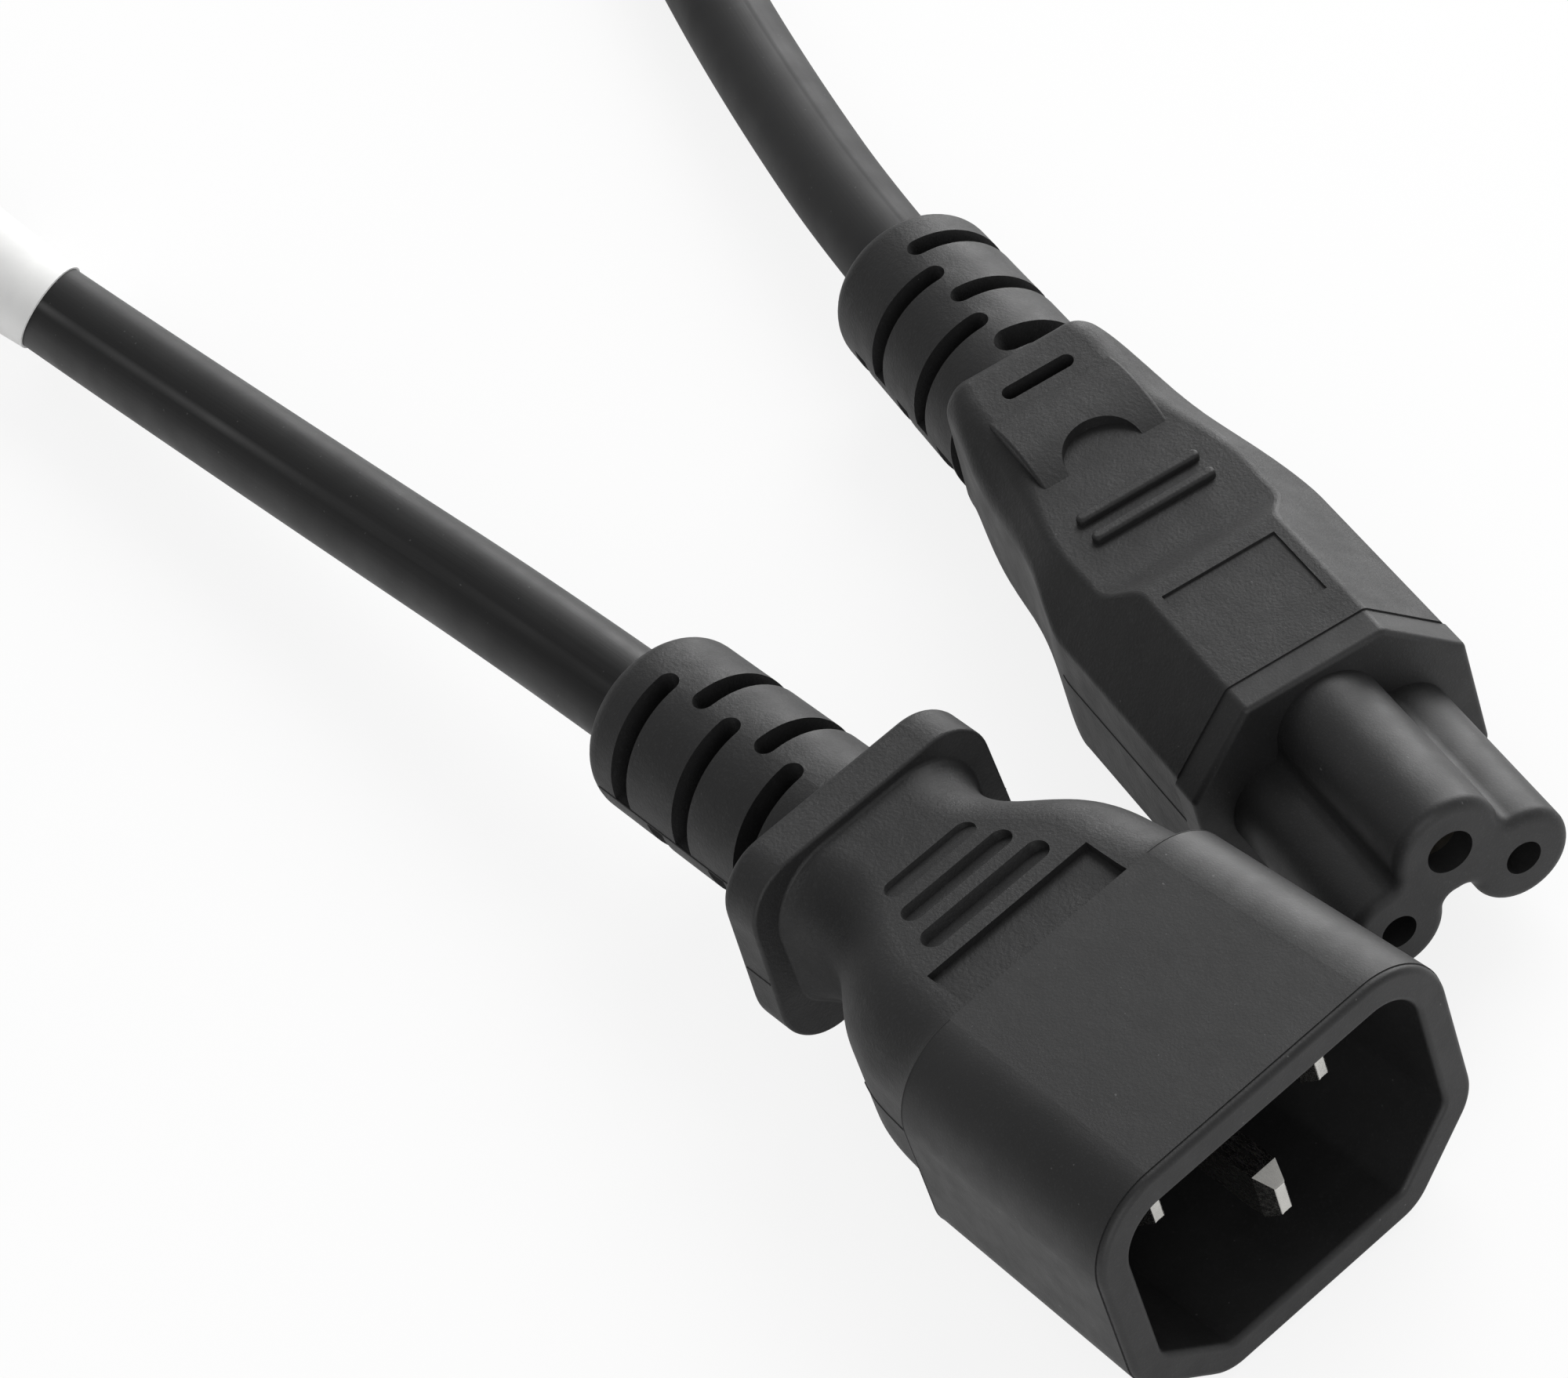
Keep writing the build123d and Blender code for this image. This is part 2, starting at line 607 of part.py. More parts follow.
def cord_path():
    plug_end = (PLUG_CORD_END_X, 0, PLUG_AXIS_Z)
    plug_out = (PLUG_CUFF_END_X - PLUG_LEAD_OUT, 0, PLUG_AXIS_Z)
    connector_end = CONNECTOR_PLACE * Pos(CONNECTOR_CORD_END_X, 0, CONNECTOR_AXIS_Z)
    connector_out = CONNECTOR_PLACE * Pos(CONNECTOR_CUFF_END_X - CONNECTOR_LEAD_OUT, 0, CONNECTOR_AXIS_Z)
    points = [plug_end, plug_out, *ROUTE, tuple(connector_out.position), tuple(connector_end.position)]
    rooms = {plug_out: PLUG_LEAD_OUT - EXIT_STRAIGHT, points[-2]: CONNECTOR_LEAD_OUT - EXIT_STRAIGHT}
    radii = corner_radii(points, rooms)
    print("cord arc radii", [round(radius) for radius in radii])
    return FilletPolyline(*points, radius=radii)


def flared_sweep(path, start_radius, end_radius):
    sections = [Plane(path @ u, z_dir=path % u) * Circle(r) for u, r in ((0, start_radius), (1, end_radius))]
    return sweep(sections, path, multisection=True)


def cord_and_label():
    path = cord_path()
    cord = core_sweep(path, CORD_RADIUS)
    ratio = cord.volume / (pi * CORD_RADIUS**2 * path.length)
    print("cord length", round(path.length, 1), "volume ratio", round(ratio, 4))
    start = LABEL_START + PLUG_CORD_END_X - PLUG_CUFF_END_X
    covered = path.trim(start / path.length, (start + LABEL_LENGTH) / path.length)
    inner = CORD_RADIUS + LABEL_CLEARANCE
    hollow = flared_sweep(covered, inner, inner + LABEL_FLARE)
    label = flared_sweep(covered, inner + LABEL_WALL, inner + LABEL_FLARE + LABEL_WALL) - hollow
    return cord, label


def in_place(node):
    return CONNECTOR_PLACE * node


nodes = {}
cord, label = cord_and_label()
nodes["cord"] = cord
nodes["cable_label"] = label

# The plug: hard shroud with its pins, then the grip moulded round what lies behind them
pins = {f"plug_{name}_pin": plug_pin(name) for name in PIN_NAMES}
shroud = plug_shroud()
for pin in pins.values():
    shroud -= pin
plug_cores = cores(
    "plug",
    {name: pin_place(name) for name in PIN_NAMES},
    PIN_BACK_X - BARREL_LENGTH,
    PLUG_CORD_END_X,
    PLUG_AXIS_Z,
)
plug_seat = rod(CORD_RADIUS, PLUG_CORD_END_X, PLUG_CUFF_END_X - 1, 0, PLUG_AXIS_Z)
nodes["plug_shroud"] = shroud
inside_plug = [shroud, *pins.values(), *plug_cores.values(), plug_seat]
nodes["plug_grip"] = plug_grip(inside_plug)
nodes.update(pins)
nodes.update(plug_cores)

# The connector, built in its own frame and then put in place
contacts = {f"connector_{name}_contact": connector_contact(name) for name in PIN_NAMES}
insert = connector_insert()
connector_cores = cores(
    "connector",
    {name: bore_place(name) for name in PIN_NAMES},
    CONTACT_BACK_X - BARREL_LENGTH,
    CONNECTOR_CORD_END_X,
    CONNECTOR_AXIS_Z,
)
connector_seat = rod(CORD_RADIUS, CONNECTOR_CORD_END_X, CONNECTOR_CUFF_END_X - 1, 0, CONNECTOR_AXIS_Z)
bores = [rod(bore_radius(name), BOSS_BACK_X, NOSE_LENGTH, *bore_place(name)) for name in PIN_NAMES]
inside_connector = [insert, *bores, *contacts.values(), *connector_cores.values(), connector_seat]
connector = {
    "connector_insert": insert,
    "connector_grip": connector_grip(inside_connector),
    **contacts,
    **connector_cores,
}
nodes.update({name: in_place(node) for name, node in connector.items()})

os.makedirs("parts", exist_ok=True)
for name, node in nodes.items():
    export_step(node, f"parts/{name}.step")
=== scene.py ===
from math import cos, pi, radians, sin

import bmesh
import bpy
from mathutils import Matrix, Vector


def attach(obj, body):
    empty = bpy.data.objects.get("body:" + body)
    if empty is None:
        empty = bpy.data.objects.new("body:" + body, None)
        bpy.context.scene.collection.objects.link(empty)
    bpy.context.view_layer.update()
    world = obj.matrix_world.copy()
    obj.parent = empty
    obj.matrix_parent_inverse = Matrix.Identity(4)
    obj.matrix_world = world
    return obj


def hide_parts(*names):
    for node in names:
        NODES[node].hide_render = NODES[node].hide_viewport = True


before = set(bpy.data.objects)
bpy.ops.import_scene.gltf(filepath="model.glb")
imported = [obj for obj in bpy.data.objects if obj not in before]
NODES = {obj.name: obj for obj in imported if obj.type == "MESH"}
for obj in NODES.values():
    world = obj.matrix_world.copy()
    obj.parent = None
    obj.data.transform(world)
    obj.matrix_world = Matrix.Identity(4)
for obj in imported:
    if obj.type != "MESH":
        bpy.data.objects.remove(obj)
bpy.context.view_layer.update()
SCENE = bpy.context.scene
SCENE.view_settings.view_transform = "Standard"
MM = 0.001

# camera, fitted to the flat-pin plug's known sizes
CAMERA_PLACE = (197.407, -106.394, 277.456)
IMAGE_RIGHT = (0.620833, 0.740527, -0.257268)
IMAGE_DOWN = (0.442565, -0.601948, -0.664677)
VIEW = (-0.647073, 0.298795, -0.701440)
LENS = 128.858

# cord route, the same points as in the part's source, in mm
CORD_ROUTE = (
    (-34.4, 0.0, 11.15),
    (-61.2, 0.0, 11.15),
    (-97.0, 0.0, 7.7),
    (-138.0, -0.2, 4.8),
    (-166.0, -0.5, 4.6),
    (-190.0, -1.4, 3.9),
    (-208.5, 8.0, 3.65),
    (-220.1, 25.2, 3.65),
    (-221.8, 45.8, 3.65),
    (-213.1, 64.7, 3.65),
    (-196.4, 76.9, 3.65),
    (-175.8, 79.3, 3.65),
    (-150.0, 68.6, 3.65),
    (-125.0, 58.0, 4.0),
    (-104.0, 49.9, 5.1),
    (-79.81, 41.85, 6.80),
    (-56.16, 36.69, 6.80),
)
CORD_RADIUS = 3.6
CORD_SIDES = 96
# share of the way round the cord where one die line stands out, with a painted highlight along it
DIE_LINE_AND_HIGHLIGHT = 0.675
# edges that turn more than this stay sharp
SHARP_ANGLE = radians(60.0)

# label film wrapped round the cord: distances along the cord and radii in mm, angles in degrees
LABEL_START = 99.9
LABEL_LENGTH = 14.0
LABEL_INSIDE = 3.62
LABEL_WALL = 0.15
LABEL_FLARE = 0.6
LABEL_SKEW = 3.0
LABEL_SKEW_ANGLE = 247.0
LABEL_LAP = 0.16
LABEL_LAP_ANGLE = 40.0
LABEL_LAP_REACH = 50.0
LABEL_SIDES = 120
LABEL_STEPS = 28

# mould seams, in mm: where the two halves of each mould met, and the thin bead that they left
PLUG_SEAM_HEIGHT = 11.15
CONNECTOR_SEAM_HEIGHT = 6.15
CONNECTOR_PLACE = (-16.3, 28.0)
CONNECTOR_YAW = -12.3
SEAM_CLEAR = 5.5
# share of a seam's facing that has to point sideways
SEAM_FACING = 0.92
# the plug's waist and flange root, where no seam shows
PLUG_SEAM_GAP = (-28.7, -20.0)
# the connector's seam ends here, ahead of its tapered back
CONNECTOR_SEAM_BACK = -19.5
SEAM_RADIUS = 0.07
SEAM_SIDES = 8
SEAM_STEP = 0.05
SEAM_LEAST = 1.0
SHROUD_BACK = -9.7
JOINT_INSET = 0.05
JOINT_RADIUS = 0.035
JOINT_LOWEST = 0.3

# cord jacket tones, with a painted highlight and a painted lighter end, and how they run: half width round
# the cord, metres along it from the plug
JACKET_DARK = (0.005, 0.005, 0.0052)
JACKET_PALE = (0.009, 0.009, 0.0093)
# painted light: this paler tone towards the connector's end stands in for more light falling on that part of
# the cord
JACKET_PAINTED_LIGHT = (0.024, 0.024, 0.0245)
# painted highlight: this pale colour along the die line stands in for a reflection of light
JACKET_PAINTED_HIGHLIGHT = (0.065, 0.065, 0.065)
RIDGE_AND_HIGHLIGHT_HALF = 0.022
PAINTED_HIGHLIGHT_RISES = (0.045, 0.075)
HAZE_AND_LIGHT_RISES = (0.28, 0.36)
HAZE_DULLS = 0.15

# stage and lamps: places and sizes in metres, power in watts
FLOOR_GLOW = 0.85
FLOOR_MIRROR = 0.5
FLOOR_HALF = 3.0
FLOOR_DROP = 0.0002
WORLD_STRENGTH = 0.40
LAMPS = (
    ("key", (-0.35, 0.80, 0.75), (-0.03, 0.02, 0.0), (0.9, 0.7), 9.6),
    ("rim", (-0.62, 1.05, 0.17), (-0.03, 0.03, 0.01), (0.9, 0.3), 6.6),
    ("fill", (0.80, -0.45, 0.40), (-0.02, 0.01, 0.01), (0.8, 0.8), 4.0),
)


def add_camera():
    data = bpy.data.cameras.new("camera")
    data.lens = LENS
    data.sensor_width = 36.0
    data.sensor_fit = "HORIZONTAL"
    data.clip_start = 0.01
    data.clip_end = 20.0
    camera = bpy.data.objects.new("camera", data)
    right, down, view = Vector(IMAGE_RIGHT), Vector(IMAGE_DOWN), Vector(VIEW)
    turn = Matrix((right, -down, -view)).transposed().to_4x4()
    camera.matrix_world = Matrix.Translation(Vector(CAMERA_PLACE) * MM) @ turn
    SCENE.collection.objects.link(camera)
    SCENE.camera = camera


def new_object(name, data):
    obj = bpy.data.objects.new(name, data)
    SCENE.collection.objects.link(obj)
    return obj


def route_line(points):
    """Points of the smooth line that the route's NURBS spline gives."""
    curve = bpy.data.curves.new("route", "CURVE")
    curve.dimensions = "3D"
    spline = curve.splines.new("NURBS")
    spline.points.add(len(points) - 1)
    for knot, place in zip(spline.points, points):
        knot.co = (*[v * MM for v in place], 1.0)
    spline.order_u = 3
    spline.use_endpoint_u = True
    spline.resolution_u = 24
    carrier = new_object("route", curve)
    bpy.context.view_layer.update()
    mesh = bpy.data.meshes.new_from_object(carrier)
    line = [v.co.copy() for v in mesh.vertices]
    bpy.data.objects.remove(carrier)
    bpy.data.meshes.remove(mesh)
    return line


def lengths_along(line):
    along = [0.0]
    for a, b in zip(line, line[1:]):
        along.append(along[-1] + (b - a).length)
    return along


def frames_along(line):
    """Tangent and two cross directions at each point, turned as little as possible from one to the next."""
    frames = []
    side = Vector((0.0, 1.0, 0.0))
    for i in range(len(line)):
        tangent = (line[min(i + 1, len(line) - 1)] - line[max(i - 1, 0)]).normalized()
        side = (side - tangent * side.dot(tangent)).normalized()
        frames.append((tangent, side, tangent.cross(side)))
    return frames


def add_tube(bm, line, radius, sides):
    """Closed tube round a line, with a UV map of the share around and metres along."""
    uv = bm.loops.layers.uv.get("UVMap") or bm.loops.layers.uv.new("UVMap")
    along = lengths_along(line)
    rings = []
    for place, (tangent, side, up) in zip(line, frames_along(line)):
        ring = []
        for k in range(sides):
            angle = 2 * pi * k / sides
            ring.append(bm.verts.new(place + (side * cos(angle) + up * sin(angle)) * radius))
        rings.append(ring)
    for i in range(len(rings) - 1):
        for k in range(sides):
            n = (k + 1) % sides
            face = bm.faces.new((rings[i][k], rings[i][n], rings[i + 1][n], rings[i + 1][k]))
            corners = ((k, i), (k + 1, i), (k + 1, i + 1), (k, i + 1))
            for loop, (around, step) in zip(face.loops, corners):
                loop[uv].uv = (around / sides, along[step])
    bm.faces.new(list(reversed(rings[0])))
    bm.faces.new(rings[-1])


def tubes(name, lines, radius, sides):
    """One piece of tubes round the given lines."""
    bm = bmesh.new()
    for line in lines:
        add_tube(bm, line, radius, sides)
    return finish_mesh(name, bm)


def finish_mesh(name, bm):
    bmesh.ops.recalc_face_normals(bm, faces=bm.faces)
    for face in bm.faces:
        face.smooth = len(face.verts) == 4
    for edge in bm.edges:
        edge.smooth = edge.calc_face_angle(0.0) < SHARP_ANGLE
    mesh = bpy.data.meshes.new(name)
    bm.to_mesh(mesh)
    bm.free()
    return new_object(name, mesh)


def label_sleeve(name, line):
    """Thin film wrapped round the cord a little askew: flared, with one edge lapped over the other."""
    along = lengths_along(line)
    frames = frames_along(line)

    def spot(distance, angle, radius):
        i = next(k for k, s in enumerate(along) if s >= distance)
        share = (distance - along[i - 1]) / (along[i] - along[i - 1])
        middle = line[i - 1].lerp(line[i], share)
        tangent, side, up = frames[i]
        return middle + (side * cos(angle) + up * sin(angle)) * radius

    bm = bmesh.new()
    skins = []
    for wall in (LABEL_WALL, 0.0):
        skin = []
        for i in range(LABEL_STEPS + 1):
            share = i / LABEL_STEPS
            ring = []
            for k in range(LABEL_SIDES):
                turn = 360 * k / LABEL_SIDES
                skew = -LABEL_SKEW * cos(radians(turn - LABEL_SKEW_ANGLE))
                lap = max(0.0, 1 - ((turn - LABEL_LAP_ANGLE) % 360) / LABEL_LAP_REACH)
                radius = LABEL_INSIDE + LABEL_FLARE * share + wall * (1 + LABEL_LAP / LABEL_WALL * lap)
                distance = LABEL_START + LABEL_LENGTH * share + skew
                ring.append(bm.verts.new(spot(distance * MM, radians(turn), radius * MM)))
            skin.append(ring)
        skins.append(skin)
    outer, inner = skins
    for k in range(LABEL_SIDES):
        n = (k + 1) % LABEL_SIDES
        for i in range(LABEL_STEPS):
            bm.faces.new((outer[i][k], outer[i][n], outer[i + 1][n], outer[i + 1][k]))
            bm.faces.new((inner[i][n], inner[i][k], inner[i + 1][k], inner[i + 1][n]))
        bm.faces.new((outer[0][n], outer[0][k], inner[0][k], inner[0][n]))
        bm.faces.new((outer[-1][k], outer[-1][n], inner[-1][n], inner[-1][k]))
    return finish_mesh(name, bm)


def cut_edges(bm, place, normal, wanted):
    """Edges where a plane cuts a solid's outside, as chosen by their middle and the way they face."""
    everything = bm.verts[:] + bm.edges[:] + bm.faces[:]
    cut = bmesh.ops.bisect_plane(bm, geom=everything, dist=1e-7, plane_co=place, plane_no=normal)
    edges = [piece for piece in cut["geom_cut"] if isinstance(piece, bmesh.types.BMEdge)]
    for face in bm.faces:
        face.normal_update()
    chosen = []
    for edge in edges:
        middle = (edge.verts[0].co + edge.verts[1].co) / 2
        facing = sum((face.normal for face in edge.link_faces), Vector()).normalized()
        if wanted(middle, facing):
            chosen.append(edge)
    return chosen


def chains(edges):
    """Edges joined end to end into lines of points."""
    links = {}
    for edge in edges:
        a, b = edge.verts
        links.setdefault(a, []).append(b)
        links.setdefault(b, []).append(a)
    lines = []
    while links:
        ends = [vert for vert, near in links.items() if len(near) == 1]
        here = ends[0] if ends else next(iter(links))
        line = [here.co.copy()]
        while links.get(here):
            there = links[here].pop()
            links[there].remove(here)
            here = there
            if (here.co - line[-1]).length > SEAM_STEP * MM:
                line.append(here.co.copy())
        links = {vert: near for vert, near in links.items() if near}
        if lengths_along(line)[-1] > SEAM_LEAST * MM:
            lines.append(line)
    return lines


def seam(name, node_name, place, normal, wanted, radius):
    bm = bmesh.new()
    bm.from_mesh(NODES[node_name].data)
    lines = chains(cut_edges(bm, place, normal, wanted))
    bm.free()
    return tubes(name, lines, radius * MM, SEAM_SIDES)


# materials

def material(name):
    made = bpy.data.materials.new(name)
    made.use_nodes = True
    made.node_tree.nodes.clear()
    return made, made.node_tree


def node(tree, kind, **settings):
    made = tree.nodes.new(kind)
    for key, value in settings.items():
        setattr(made, key, value)
    return made


def set_inputs(made, **values):
    for key, value in values.items():
        made.inputs[key.replace("_", " ")].default_value = value
    return made


def noise(tree, where, scale, detail=2.0, roughness=0.5):
    made = node(tree, "ShaderNodeTexNoise")
    set_inputs(made, Scale=scale, Detail=detail, Roughness=roughness)
    tree.links.new(where, made.inputs["Vector"])
    return made.outputs["Fac"]


def spread(tree, value, low, high, to_low, to_high, kind="LINEAR"):
    made = node(tree, "ShaderNodeMapRange", interpolation_type=kind)
    set_inputs(made, From_Min=low, From_Max=high, To_Min=to_low, To_Max=to_high)
    tree.links.new(value, made.inputs["Value"])
    return made.outputs["Result"]


def math(tree, operation, a, b):
    made = node(tree, "ShaderNodeMath", operation=operation)
    for socket, value in zip(made.inputs, (a, b)):
        if isinstance(value, (int, float)):
            socket.default_value = value
        else:
            tree.links.new(value, socket)
    return made.outputs[0]


def mix_colour(tree, factor, first, second):
    made = node(tree, "ShaderNodeMix", data_type="RGBA")
    tree.links.new(factor, made.inputs[0])
    for socket, value in ((made.inputs[6], first), (made.inputs[7], second)):
        if isinstance(value, tuple):
            socket.default_value = (*value, 1.0)
        else:
            tree.links.new(value, socket)
    return made.outputs[2]


def bump(tree, height, distance, strength=1.0, under=None):
    made = node(tree, "ShaderNodeBump")
    set_inputs(made, Strength=strength, Distance=distance)
    tree.links.new(height, made.inputs["Height"])
    if under is not None:
        tree.links.new(under, made.inputs["Normal"])
    return made.outputs["Normal"]


def surface(tree, colour, roughness, normal, **constants):
    shader = node(tree, "ShaderNodeBsdfPrincipled")
    out = node(tree, "ShaderNodeOutputMaterial")
    if isinstance(colour, tuple):
        shader.inputs["Base Color"].default_value = (*colour, 1.0)
    else:
        tree.links.new(colour, shader.inputs["Base Color"])
    if isinstance(roughness, float):
        shader.inputs["Roughness"].default_value = roughness
    else:
        tree.links.new(roughness, shader.inputs["Roughness"])
    if normal is not None:
        tree.links.new(normal, shader.inputs["Normal"])
    set_inputs(shader, **constants)
    tree.links.new(shader.outputs[0], out.inputs["Surface"])


def moulded_plastic(name, base, roughness, grain, grain_depth, specks, ripple):
    """Dark moulded plastic: spark-eroded grain, slow tone changes, slight ripple and fine dust specks."""
    made, tree = material(name)
    where = node(tree, "ShaderNodeTexCoord").outputs["Object"]
    slow = noise(tree, where, 90.0, 3.0)
    fine = noise(tree, where, grain, 3.0, 0.6)
    cloud = noise(tree, where, 420.0, 3.0, 0.55)
    dark = tuple(v * 0.82 for v in base)
    pale = tuple(v * 1.22 for v in base)
    tone = mix_colour(tree, spread(tree, slow, 0.3, 0.7, 0.0, 1.0), dark, pale)
    tone = mix_colour(tree, spread(tree, fine, 0.55, 0.72, 0.0, 0.6), tone, tuple(v * 2.0 for v in base))
    dust = noise(tree, where, 3400.0, 0.0)
    dust = spread(tree, dust, 1.0 - specks, 1.0 - specks + 0.05, 0.0, 0.7)
    tone = mix_colour(tree, dust, tone, (0.10, 0.10, 0.10))
    gloss = spread(tree, cloud, 0.25, 0.75, roughness - 0.06, roughness + 0.06)
    normal = bump(tree, fine, grain_depth * MM)
    normal = bump(tree, cloud, ripple * MM, 1.0, normal)
    surface(tree, tone, gloss, normal, Specular_IOR_Level=0.4)
    return made


def cord_jacket():
    """Extruded PVC: die lines, and one die line ridge along the cord with a painted highlight on it; duller
    at the connector's end, with a painted lighter tone there.
    """
    made, tree = material("cord_jacket")
    uv = node(tree, "ShaderNodeUVMap", uv_map="UVMap").outputs["UV"]
    stretch = node(tree, "ShaderNodeMapping")
    stretch.inputs["Scale"].default_value = (22.0, 9.0, 1.0)
    tree.links.new(uv, stretch.inputs["Vector"])
    lines = noise(tree, stretch.outputs[0], 6.0, 4.0, 0.6)
    where = node(tree, "ShaderNodeTexCoord").outputs["Object"]
    cloud = noise(tree, where, 260.0, 3.0)
    dust = spread(tree, noise(tree, where, 3400.0, 0.0), 0.83, 0.87, 0.0, 0.5)
    around = node(tree, "ShaderNodeSeparateXYZ")
    tree.links.new(uv, around.inputs[0])
    aside = math(tree, "ABSOLUTE", math(tree, "SUBTRACT", around.outputs[0], DIE_LINE_AND_HIGHLIGHT), 0.0)
    # this mask both bumps the die line ridge and places the painted highlight on it
    ridge_and_painted_highlight = spread(tree, aside, 0.0, RIDGE_AND_HIGHLIGHT_HALF, 1.0, 0.0, "SMOOTHSTEP")
    highlight_fade = spread(tree, noise(tree, where, 55.0, 2.0), 0.38, 0.62, 0.3, 1.0)
    along = around.outputs[1]
    highlight_fade = math(tree, "MULTIPLY", highlight_fade, spread(tree, along, *PAINTED_HIGHLIGHT_RISES, 0.25, 1.0))
    # this mask makes the connector's end duller and also paints it lighter
    haze_and_painted_light = spread(tree, along, *HAZE_AND_LIGHT_RISES, 0.0, 1.0)
    tone = mix_colour(tree, spread(tree, lines, 0.3, 0.7, 0.0, 1.0), JACKET_DARK, JACKET_PALE)
    # painted highlight along the die line, faded in and out along the cord
    tone = mix_colour(tree, math(tree, "MULTIPLY", ridge_and_painted_highlight, highlight_fade), tone, JACKET_PAINTED_HIGHLIGHT)
    # painted light: paler tone towards the connector's end, where the cord lies in more light
    tone = mix_colour(tree, haze_and_painted_light, tone, JACKET_PAINTED_LIGHT)
    tone = mix_colour(tree, dust, tone, (0.08, 0.08, 0.08))
    gloss = spread(tree, cloud, 0.3, 0.7, 0.40, 0.50)
    gloss = math(tree, "ADD", gloss, math(tree, "MULTIPLY", haze_and_painted_light, HAZE_DULLS))
    normal = bump(tree, lines, 0.006 * MM)
    normal = bump(tree, cloud, 0.02 * MM, 1.0, normal)
    normal = bump(tree, ridge_and_painted_highlight, 0.05 * MM, 1.0, normal)
    surface(tree, tone, gloss, normal, Specular_IOR_Level=0.26)
    return made


def label_film():
    made, tree = material("label_film")
    where = node(tree, "ShaderNodeTexCoord").outputs["Object"]
    slow = noise(tree, where, 180.0, 3.0)
    fine = noise(tree, where, 2500.0, 3.0, 0.65)
    tone = mix_colour(tree, spread(tree, slow, 0.3, 0.7, 0.0, 1.0), (0.74, 0.74, 0.735), (0.83, 0.83, 0.82))
    gloss = spread(tree, fine, 0.3, 0.7, 0.40, 0.55)
    normal = bump(tree, fine, 0.006 * MM)
    normal = bump(tree, slow, 0.06 * MM, 1.0, normal)
    surface(tree, tone, gloss, normal)
    return made


def plated_metal(name, base, roughness):
    """Plated blade: fine draw lines and soft handling marks."""
    made, tree = material(name)
    where = node(tree, "ShaderNodeTexCoord").outputs["Object"]
    stretch = node(tree, "ShaderNodeMapping")
    stretch.inputs["Scale"].default_value = (1.0, 9.0, 9.0)
    tree.links.new(where, stretch.inputs["Vector"])
    lines = noise(tree, stretch.outputs[0], 900.0, 3.0, 0.6)
    cloud = noise(tree, where, 500.0, 2.0)
    tone = mix_colour(tree, spread(tree, cloud, 0.3, 0.7, 0.0, 1.0), tuple(v * 0.86 for v in base), base)
    gloss = spread(tree, lines, 0.3, 0.7, roughness - 0.07, roughness + 0.09)
    surface(tree, tone, gloss, bump(tree, lines, 0.006 * MM), Metallic=1.0)
    return made


def core_plastic(name, base):
    made, tree = material(name)
    where = node(tree, "ShaderNodeTexCoord").outputs["Object"]
    slow = noise(tree, where, 300.0, 3.0)
    tone = mix_colour(tree, spread(tree, slow, 0.3, 0.7, 0.0, 1.0), tuple(v * 0.85 for v in base), base)
    surface(tree, tone, spread(tree, slow, 0.3, 0.7, 0.35, 0.45), bump(tree, slow, 0.02 * MM))
    return made


def dress(node_name, made):
    data = NODES[node_name].data
    data.materials.clear()
    data.materials.append(made)


def white_stage(name):
    """Plain white floor, partly self-lit to the camera and in reflections, with a soft shadow."""
    made, tree = material(name)
    path = node(tree, "ShaderNodeLightPath")
    where = node(tree, "ShaderNodeTexCoord").outputs["Object"]
    grain = noise(tree, where, 40.0, 3.0)
    diffuse = node(tree, "ShaderNodeBsdfDiffuse")
    tone = mix_colour(tree, grain, (0.92, 0.92, 0.92), (0.94, 0.94, 0.94))
    tree.links.new(tone, diffuse.inputs["Color"])
    glow = node(tree, "ShaderNodeEmission")
    set_inputs(glow, Color=(1.0, 1.0, 1.0, 1.0), Strength=1.0)
    seen = math(tree, "MAXIMUM", path.outputs["Is Camera Ray"], path.outputs["Is Transmission Ray"])
    direct = math(tree, "MULTIPLY", seen, FLOOR_GLOW)
    mirrored = math(tree, "MULTIPLY", path.outputs["Is Glossy Ray"], FLOOR_MIRROR)
    mixed = node(tree, "ShaderNodeMixShader")
    tree.links.new(math(tree, "MAXIMUM", direct, mirrored), mixed.inputs[0])
    tree.links.new(diffuse.outputs[0], mixed.inputs[1])
    tree.links.new(glow.outputs[0], mixed.inputs[2])
    out = node(tree, "ShaderNodeOutputMaterial")
    tree.links.new(mixed.outputs[0], out.inputs["Surface"])
    return made


def add_world():
    world = bpy.data.worlds.new("world")
    SCENE.world = world
    world.use_nodes = True
    tree = world.node_tree
    tree.nodes.clear()
    path = node(tree, "ShaderNodeLightPath")
    seen = math(tree, "MAXIMUM", path.outputs["Is Camera Ray"], path.outputs["Is Transmission Ray"])
    strength = spread(tree, seen, 0.0, 1.0, WORLD_STRENGTH, 1.0)
    back = node(tree, "ShaderNodeBackground")
    back.inputs["Color"].default_value = (1.0, 1.0, 1.0, 1.0)
    tree.links.new(strength, back.inputs["Strength"])
    out = node(tree, "ShaderNodeOutputWorld")
    tree.links.new(back.outputs[0], out.inputs["Surface"])


def add_lamp(name, place, target, size, power):
    data = bpy.data.lights.new(name, "AREA")
    data.shape = "RECTANGLE"
    data.size, data.size_y = size
    data.energy = power
    lamp = new_object(name, data)
    direction = Vector(target) - Vector(place)
    lamp.location = place
    lamp.rotation_euler = direction.to_track_quat("-Z", "Y").to_euler()


def add_floor():
    mesh = bpy.data.meshes.new("floor")
    corners = ((-1, -1), (1, -1), (1, 1), (-1, 1))
    places = [(x * FLOOR_HALF, y * FLOOR_HALF, -FLOOR_DROP) for x, y in corners]
    mesh.from_pydata(places, [], [(0, 1, 2, 3)])
    floor = new_object("floor", mesh)
    mesh.materials.append(white_stage("floor_white"))


add_camera()
line = route_line(CORD_ROUTE)
cord = tubes("cord_jacket", [line], CORD_RADIUS * MM, CORD_SIDES)
cord.data.materials.append(cord_jacket())
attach(cord, "root")
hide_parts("cord")
label = label_sleeve("label_sleeve", line)
label.data.materials.append(label_film())
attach(label, "root")
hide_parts("cable_label")

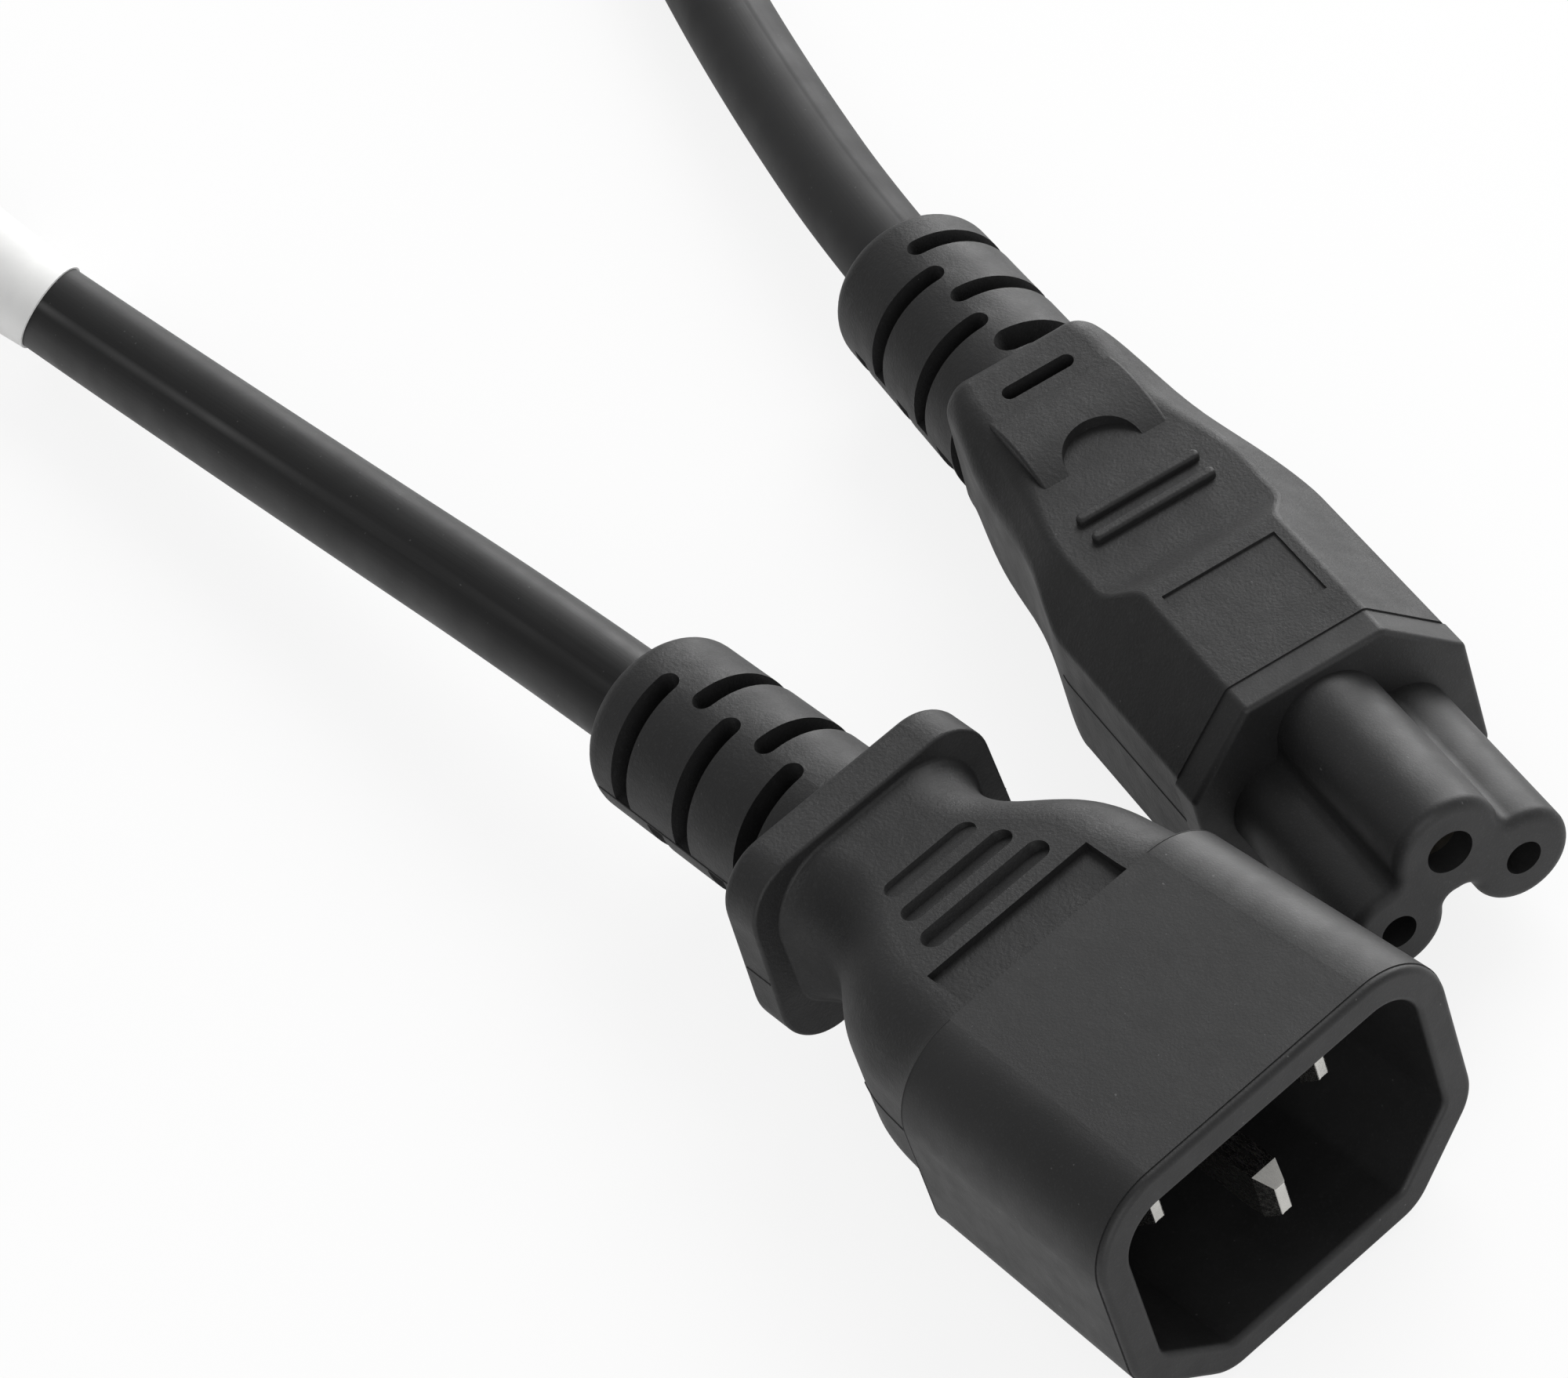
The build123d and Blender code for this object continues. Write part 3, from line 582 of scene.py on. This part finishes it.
GRIP = moulded_plastic("grip_pvc", (0.013, 0.013, 0.0133), 0.56, 4300.0, 0.035, 0.12, 0.06)
SHELL = moulded_plastic("shell_plastic", (0.0125, 0.0125, 0.0128), 0.50, 5600.0, 0.014, 0.15, 0.03)
INSERT = moulded_plastic("insert_plastic", (0.017, 0.017, 0.0174), 0.52, 5600.0, 0.014, 0.13, 0.03)
PIN = plated_metal("pin_metal", (0.66, 0.65, 0.62), 0.24)
CONTACT = plated_metal("contact_metal", (0.30, 0.28, 0.24), 0.50)
COPPER = plated_metal("copper", (0.72, 0.38, 0.22), 0.32)
CORES = {
    "line": core_plastic("core_line", (0.12, 0.05, 0.025)),
    "neutral": core_plastic("core_neutral", (0.03, 0.11, 0.4)),
    "earth": core_plastic("core_earth", (0.28, 0.45, 0.05)),
}
dress("plug_shroud", SHELL)
dress("plug_grip", GRIP)
dress("connector_insert", INSERT)
dress("connector_grip", GRIP)
for end, core in CORES.items():
    dress(f"plug_{end}_pin", PIN)
    dress(f"connector_{end}_contact", CONTACT)
    for side in ("plug", "connector"):
        dress(f"{side}_{end}_strands", COPPER)
        dress(f"{side}_{end}_insulation", core)

turn = radians(CONNECTOR_YAW)
forward = Vector((cos(turn), sin(turn), 0.0))
across = Vector((-sin(turn), cos(turn), 0.0))
connector_middle = Vector((*CONNECTOR_PLACE, 0.0)) * MM


def on_plug_side(middle, facing):
    if PLUG_SEAM_GAP[0] * MM < middle.x < PLUG_SEAM_GAP[1] * MM:
        return False
    return abs(middle.y) > SEAM_CLEAR * MM and facing.y * middle.y > SEAM_FACING * abs(middle.y)


def on_connector_side(middle, facing):
    offset = (middle - connector_middle).dot(across)
    if (middle - connector_middle).dot(forward) < CONNECTOR_SEAM_BACK * MM:
        return False
    return abs(offset) > SEAM_CLEAR * MM and facing.dot(across) * offset > SEAM_FACING * abs(offset)


def outside(middle, facing):
    return middle.z > JOINT_LOWEST * MM


def add_seam(name, node_name, place, normal, wanted, radius, made):
    bead = seam(name, node_name, Vector(place) * MM, normal, wanted, radius)
    bead.data.materials.append(made)
    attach(bead, "root")


UP = (0.0, 0.0, 1.0)
FORWARD = (1.0, 0.0, 0.0)
PLUG_SEAM = (0.0, 0.0, PLUG_SEAM_HEIGHT)
CONNECTOR_SEAM = (0.0, 0.0, CONNECTOR_SEAM_HEIGHT)
SHROUD_JOINT = (SHROUD_BACK + JOINT_INSET, 0.0, 0.0)
add_seam("plug_seam", "plug_grip", PLUG_SEAM, UP, on_plug_side, SEAM_RADIUS, GRIP)
add_seam(
    "connector_seam", "connector_grip", CONNECTOR_SEAM, UP, on_connector_side, SEAM_RADIUS, GRIP
)
add_seam("shroud_joint", "plug_shroud", SHROUD_JOINT, FORWARD, outside, JOINT_RADIUS, SHELL)

add_world()
for lamp in LAMPS:
    add_lamp(*lamp)
add_floor()
